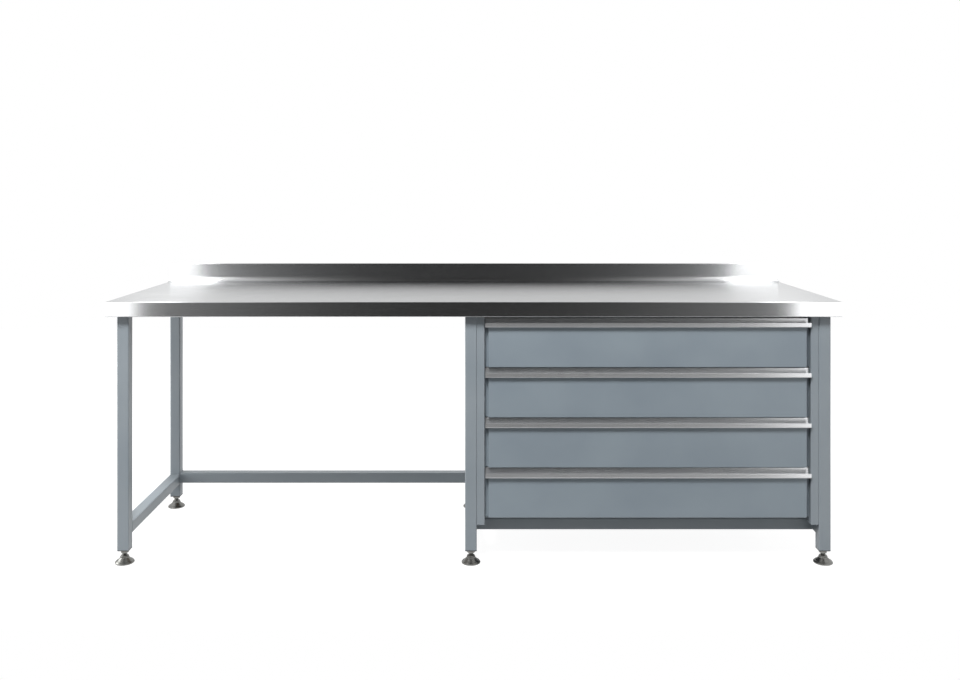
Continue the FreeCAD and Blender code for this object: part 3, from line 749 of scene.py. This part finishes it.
@dataclass
class SteelFrame:
    """Welded frame of square tube."""

    workshop: Workshop
    bead: float = 2.2
    bead_step: float = 1.7
    tube_corner: float = 4.0

    def dress(self) -> None:
        """Give every tube the paint."""
        legs = [f"leg_{row}_{side}" for row in ROWS for side in SIDES]
        rails = [f"top_rail_{row}_{side}" for row in ROWS for side in ("left", "right")]
        across = [f"{kind}_side_{side}" for kind in ("top_rail", "stretcher") for side in SIDES]
        low = ["stretcher_rear"] + [f"cabinet_rail_{row}" for row in ROWS]
        self.workshop.dress(legs + rails + across + low, Surface.PAINT)

    def weld_lines(self, node: str, run: str, faces: str) -> list[tuple[Vector, Vector]]:
        """The two fillet welds at each end of a tube.

        Args:
            node: The tube.
            run: Axis along the tube, X or Y.
            faces: Axis across the two welded faces.

        Returns:
            First and last point of each weld.
        """
        low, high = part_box(node)
        run_axis, face_axis = "XYZ".index(run), "XYZ".index(faces)
        line_axis = 3 - run_axis - face_axis
        lines = []
        for end in (low, high):
            for side in (low, high):
                start = Vector()
                start[run_axis], start[face_axis] = end[run_axis], side[face_axis]
                finish = start.copy()
                start[line_axis] = low[line_axis] + self.tube_corner * MM
                finish[line_axis] = high[line_axis] - self.tube_corner * MM
                lines.append((start, finish))
        return lines

    def build(self) -> None:
        """Lay the welds that stay visible under the paint."""
        tubes = [(f"stretcher_side_{side}", "Y", "Z") for side in SIDES]
        tubes += [("stretcher_rear", "X", "Z")]
        tubes += [(f"cabinet_rail_{row}", "X", "Y") for row in ROWS]
        lines = [line for tube in tubes for line in self.weld_lines(*tube)]
        mesh = bpy.data.meshes.new("weld_lines")
        points = [tuple(point) for line in lines for point in line]
        mesh.from_pydata(points, [(2 * index, 2 * index + 1) for index in range(len(lines))], [])
        sizes = {"Bead": self.bead * MM, "Step": self.bead_step * MM}
        self.workshop.grow("frame_welds", weld_tree(), mesh, sizes, Surface.PAINT, FIXED_BODY)


@dataclass
class Cabinet:
    """Folded sides, back and bottom, with the fixed runner members riveted to the sides."""

    workshop: Workshop
    fasteners: Fasteners
    sheet: float = 1.5
    rivets_per_runner: int = 4
    rivets_up_back: int = 6
    rivets_along_bottom: int = 4

    def dress(self) -> None:
        """Paint the sheet metal and plate the runners."""
        panels = ["cabinet_side_left", "cabinet_side_right", "cabinet_bottom", "cabinet_back"]
        self.workshop.dress(panels, Surface.PAINT)
        self.workshop.dress(["cabinet_runners"], Surface.RUNNER)

    def build(self) -> None:
        """Rivet the runners, the back and the bottom to both sides, with the heads outside."""
        spots = []
        back_low, back_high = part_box("cabinet_back")
        bottom_low, bottom_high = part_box("cabinet_bottom")
        for side, outward in (("left", -1), ("right", 1)):
            low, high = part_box(f"cabinet_side_{side}")
            wall = high.x - self.sheet * MM if side == "left" else low.x + self.sheet * MM
            facing = Vector((outward, 0, 0))
            for number in DRAWERS:
                member_low, member_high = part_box(f"drawer_{number}_runners")
                height = (member_low.z + member_high.z) / 2
                spots += [(Vector((wall, y, height)), facing)
                          for y in between(member_low.y, member_high.y, self.rivets_per_runner)]
            behind = (back_low.y + back_high.y) / 2
            spots += [(Vector((wall, behind, z)), facing)
                      for z in between(back_low.z, back_high.z, self.rivets_up_back)]
            base = (bottom_low.z + bottom_high.z) / 2
            spots += [(Vector((wall, y, base)), facing)
                      for y in between(bottom_low.y, bottom_high.y, self.rivets_along_bottom)]
        rivet = self.fasteners.blind_rivet()
        self.fasteners.set_on("cabinet_rivets", rivet, spots, Surface.PAINT, FIXED_BODY)


@dataclass
class Drawer:
    """One drawer: painted pan, grip strip, sheet box and a telescopic runner on each side."""

    workshop: Workshop
    fasteners: Fasteners
    number: int
    box_sheet: float = 1.2
    front_screws: int = 5
    front_screw_drop: float = 24.0
    runner_screws: int = 4
    runner_sheet: float = 1.2

    def dress(self) -> None:
        """Give the drawer's nodes their finishes."""
        name = f"drawer_{self.number}"
        self.workshop.dress([f"{name}_front", f"{name}_box"], Surface.DRAWER_PAINT)
        self.workshop.dress([f"{name}_grip"], Surface.GRIP)
        self.workshop.dress([f"{name}_runners", f"{name}_mid_runners"], Surface.RUNNER)

    def build(self) -> None:
        """Set the screws inside the box front and in the channels of the drawer members."""
        name = f"drawer_{self.number}"
        low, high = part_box(f"{name}_box")
        front_low, front_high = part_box(f"{name}_front")
        inner_face = low.y + self.box_sheet * MM
        backward = Vector((0, 1, 0))
        heights = (low.z + self.front_screw_drop * MM, high.z - self.front_screw_drop * MM)
        spots = [(Vector((x, inner_face, z)), backward)
                 for x in between(front_low.x, front_high.x, self.front_screws) for z in heights]
        runner_low, runner_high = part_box(f"{name}_runners")
        middle = (runner_low.z + runner_high.z) / 2
        for panel_end, outward in ((front_low.x, -1), (front_high.x, 1)):
            x = panel_end + outward * self.runner_sheet * MM
            spots += [(Vector((x, y, middle)), Vector((outward, 0, 0)))
                      for y in between(runner_low.y, runner_high.y, self.runner_screws)]
        screw = self.fasteners.pan_head()
        self.fasteners.set_on(f"{name}_screws", screw, spots, Surface.RUNNER, name)


@dataclass
class LevellingFoot:
    """A nickel-plated foot whose threaded stud turns in the leg's insert."""

    workshop: Workshop
    tree: bpy.types.NodeTree
    row: str
    side: str
    spindle: float = 9.0
    collar: float = 13.0
    collar_bottom: float = 22.0
    collar_top: float = 26.0
    collar_edge: float = 0.7
    shank: float = 8.0
    tip: float = 1.0
    pitch: float = 2.0
    ridge: float = 1.0
    segments: int = 32

    def dress(self) -> None:
        """Plate the base."""
        self.workshop.dress([f"foot_{self.row}_{self.side}_base"], Surface.FOOT)

    def build(self) -> None:
        """Replace the plain stud by one with a real thread."""
        name = f"foot_{self.row}_{self.side}"
        low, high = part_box(f"{name}_stud")
        centre = Vector(((low.x + high.x) / 2, (low.y + high.y) / 2, 0))
        foot, top = low.z / MM, high.z / MM
        root = self.shank - self.ridge
        edge = self.collar_edge
        profile = [
            (0, foot), (self.spindle, foot), (self.spindle, self.collar_bottom),
            (self.collar - edge, self.collar_bottom), (self.collar, self.collar_bottom + edge),
            (self.collar, self.collar_top - edge), (self.collar - edge, self.collar_top),
            (root, self.collar_top), (root, top - self.tip), (root - self.tip, top), (0, top)]
        seed = turned_mesh(f"{name}_blank", profile, self.segments, centre)
        lead = self.collar_top + self.pitch
        length = top - lead - self.pitch
        values = {
            "Turns": length / self.pitch,
            "Radius": root * MM,
            "Ridge": self.ridge * MM,
            "Length": length * MM,
            "Start": centre + Vector((0, 0, lead * MM)),
        }
        stud = f"{name}_threaded_stud"
        piece = self.workshop.grow(stud, self.tree, seed, values, Surface.FOOT, name)
        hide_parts(f"{name}_stud")


# Studio.

@dataclass
class Softbox:
    """A flat lamp, in metres, that is aimed at a point and may spare the paint or the metal."""

    name: str
    place: tuple[float, float, float]
    aim: tuple[float, float, float]
    width: float
    height: float
    radiance: float
    lights: bool = True
    mirrored: bool = True

    def build(self) -> None:
        """Hang the lamp."""
        lamp = bpy.data.lights.new(self.name, "AREA")
        lamp.shape = "RECTANGLE"
        lamp.size, lamp.size_y = self.width, self.height
        lamp.energy = self.radiance * self.width * self.height * math.pi
        holder = bpy.data.objects.new(self.name, lamp)
        direction = Vector(self.aim) - Vector(self.place)
        turn = direction.to_track_quat("-Z", "Y").to_matrix().to_4x4()
        holder.matrix_world = Matrix.Translation(self.place) @ turn
        holder.visible_camera = False
        holder.visible_diffuse = self.lights
        holder.visible_glossy = self.mirrored
        bpy.context.scene.collection.objects.link(holder)


@dataclass
class Studio:
    """A pale floor, a white surround that darkens in front, and soft lamps."""

    ambient: float = 0.3
    behind_level: float = 1.0
    front_level: float = 0.045
    side_level: float = 1.3
    overhead_level: float = 250.0
    dusk: tuple[float, float] = (-0.05, 0.5)
    floor_colour: str = "#828282"
    floor_glow: float = 0.93
    floor_half_width: float = 4.5
    floor_front: float = -0.8
    floor_back: float = 5.0
    panel_width: float = 1.2
    canopy_width: float = 0.26

    def world(self) -> None:
        """A surround that is white to the eye and behind the bench, and dark in front of it."""
        world = bpy.data.worlds.new("studio_surround")
        bpy.context.scene.world = world
        world.use_nodes = True
        tree = world.node_tree
        tree.nodes.clear()
        ray = add_node(tree, "ShaderNodeLightPath")
        direction = add_node(tree, "ShaderNodeSeparateXYZ", inputs={
            "Vector": add_node(tree, "ShaderNodeTexCoord").outputs["Generated"]})
        sideways = add_node(tree, "ShaderNodeMath", {"operation": "MULTIPLY"}, {
            0: direction.outputs["X"], 1: direction.outputs["X"]})
        height = add_node(tree, "ShaderNodeMath", {"operation": "MAXIMUM"}, {
            0: direction.outputs["Z"], 1: 0.0})
        steep = add_node(tree, "ShaderNodeMath", {"operation": "MULTIPLY"}, {
            0: sideways.outputs[0], 1: height.outputs[0]})
        rise = add_node(tree, "ShaderNodeMath", {"operation": "MULTIPLY_ADD"}, {
            0: steep.outputs[0], 1: self.overhead_level, 2: self.side_level})
        clamped = {"operation": "MULTIPLY_ADD", "use_clamp": True}
        in_front = add_node(tree, "ShaderNodeMath", clamped, {
            0: sideways.outputs[0], 1: rise.outputs[0], 2: self.front_level})
        mirrored = add_node(tree, "ShaderNodeMapRange", {"interpolation_type": "SMOOTHSTEP"}, {
            "Value": direction.outputs["Y"], "From Min": self.dusk[0], "From Max": self.dusk[1],
            "To Min": in_front.outputs[0], "To Max": self.behind_level})
        sharp = add_node(tree, "ShaderNodeMath", {"operation": "MAXIMUM"}, {
            0: ray.outputs["Is Glossy Ray"], 1: ray.outputs["Is Transmission Ray"]})
        seen = add_node(tree, "ShaderNodeMix", inputs={
            0: sharp.outputs[0], 2: self.ambient, 3: mirrored.outputs["Result"]})
        level = add_node(tree, "ShaderNodeMix", inputs={
            0: ray.outputs["Is Camera Ray"], 2: seen.outputs[0], 3: 1.0})
        surround = add_node(tree, "ShaderNodeBackground", inputs={"Strength": level.outputs[0]})
        surround.inputs["Color"].default_value = linear("#FFFFFF")
        add_node(tree, "ShaderNodeOutputWorld", inputs={"Surface": surround.outputs["Background"]})

    def floor(self) -> None:
        """A pale floor that glows just enough to meet the white surround."""
        mesh = bpy.data.meshes.new("studio_floor")
        side, front, back = self.floor_half_width, self.floor_front, self.floor_back
        corners = [(-side, front, 0.0), (side, front, 0.0), (side, back, 0.0), (-side, back, 0.0)]
        mesh.from_pydata(corners, [], [(0, 1, 2, 3)])
        plane = bpy.data.objects.new("studio_floor", mesh)
        bpy.context.scene.collection.objects.link(plane)
        made = bpy.data.materials.new("matt_white_paper")
        made.use_nodes = True
        tree = made.node_tree
        tree.nodes.clear()
        ray = add_node(tree, "ShaderNodeLightPath")
        paper = add_node(tree, "ShaderNodeBsdfDiffuse", inputs={
            "Color": linear(self.floor_colour)})
        sharp = add_node(tree, "ShaderNodeMath", {"operation": "MAXIMUM"}, {
            0: ray.outputs["Is Glossy Ray"], 1: ray.outputs["Is Transmission Ray"]})
        seen = add_node(tree, "ShaderNodeMath", {"operation": "MAXIMUM"}, {
            0: ray.outputs["Is Camera Ray"], 1: sharp.outputs[0]})
        glow_level = add_node(tree, "ShaderNodeMath", {"operation": "MULTIPLY"}, {
            0: seen.outputs[0], 1: self.floor_glow})
        glow = add_node(tree, "ShaderNodeEmission", inputs={"Strength": glow_level.outputs[0]})
        both = add_node(tree, "ShaderNodeAddShader", inputs={
            0: paper.outputs["BSDF"], 1: glow.outputs["Emission"]})
        add_node(tree, "ShaderNodeOutputMaterial", inputs={"Surface": both.outputs["Shader"]})
        mesh.materials.append(made)

    def lamps(self) -> None:
        """A key lamp high in front, soft fills all round, and panels that only the metal shows."""
        Softbox("key_lamp", place=(-0.8, -2.8, 4.5), aim=(-0.1, -0.33, 0.6),
                width=1.6, height=1.3, radiance=45.0, mirrored=False).build()
        Softbox("left_fill", place=(-2.0, -0.2, 0.5), aim=(-1.1, 0.25, 0.5),
                width=0.4, height=0.7, radiance=8.0).build()
        Softbox("back_fill", place=(0.0, 3.3, 2.0), aim=(0.0, 0.3, 0.6),
                width=2.4, height=1.4, radiance=7.0, mirrored=False).build()
        for name, side in (("left_side_fill", -1), ("right_side_fill", 1)):
            Softbox(name, place=(side * 3.8, 0.6, 1.0), aim=(side * 1.2, 0.0, 0.5),
                    width=1.4, height=1.4, radiance=7.0, mirrored=False).build()
        for name, inner_edge, side in (("left_panel", -2.02, -1), ("right_panel", 1.91, 1)):
            middle = inner_edge + side * self.panel_width / 2
            Softbox(name, place=(middle, -2.8, 1.7), aim=(middle, 0.0, 1.7),
                    width=self.panel_width, height=5.0, radiance=1.8, lights=False).build()
        for name, inner_edge, side in (("left_canopy", -1.64, -1), ("right_canopy", 1.62, 1)):
            middle = inner_edge + side * self.canopy_width / 2
            Softbox(name, place=(middle, 0.0, 3.0), aim=(middle, 0.0, 0.0),
                    width=self.canopy_width, height=1.4, radiance=6.5, lights=False).build()

    def build(self) -> None:
        """Set up the surround, the floor and the lamps."""
        self.world()
        self.floor()
        self.lamps()
        bpy.context.scene.view_settings.view_transform = "Standard"


@dataclass
class StudioCamera:
    """A level camera at chest height, with the bench a little left of the frame's middle."""

    focal_length: float = 35.98
    sensor: float = 36.0
    place: tuple[float, float, float] = (0.0, -3.603, 1.296)
    vanishing_column: float = 473.85
    horizon_row: float = 185.24

    def build(self) -> None:
        """Place the camera; its shift keeps the uprights parallel under a high horizon."""
        lens = bpy.data.cameras.new("studio_camera")
        lens.lens = self.focal_length
        lens.sensor_width = self.sensor
        lens.shift_x = (IMAGE_WIDTH / 2 - self.vanishing_column) / IMAGE_WIDTH
        lens.shift_y = (self.horizon_row - IMAGE_HEIGHT / 2) / IMAGE_WIDTH
        camera = bpy.data.objects.new("studio_camera", lens)
        camera.location = self.place
        camera.rotation_euler = (math.pi / 2, 0, 0)
        bpy.context.scene.collection.objects.link(camera)
        bpy.context.scene.camera = camera


def main() -> None:
    """Build the bench's sub-assemblies in order, then the studio round them."""
    logging.basicConfig(level=logging.INFO, format="%(name)s: %(message)s")
    StudioCamera().build()
    workshop = Workshop()
    fasteners = Fasteners(workshop)
    thread = thread_tree()
    parts = [Worktop(workshop, fasteners), SteelFrame(workshop), Cabinet(workshop, fasteners)]
    parts += [Drawer(workshop, fasteners, number) for number in DRAWERS]
    parts += [LevellingFoot(workshop, thread, row, side) for row in ROWS for side in SIDES]
    for part in parts:
        part.dress()
        part.build()
    workshop.dress(["foot_inserts"], Surface.INSERT)
    workshop.dress(["foot_lock_nuts"], Surface.FOOT)
    Studio().build()


if __name__ == "__main__":
    main()
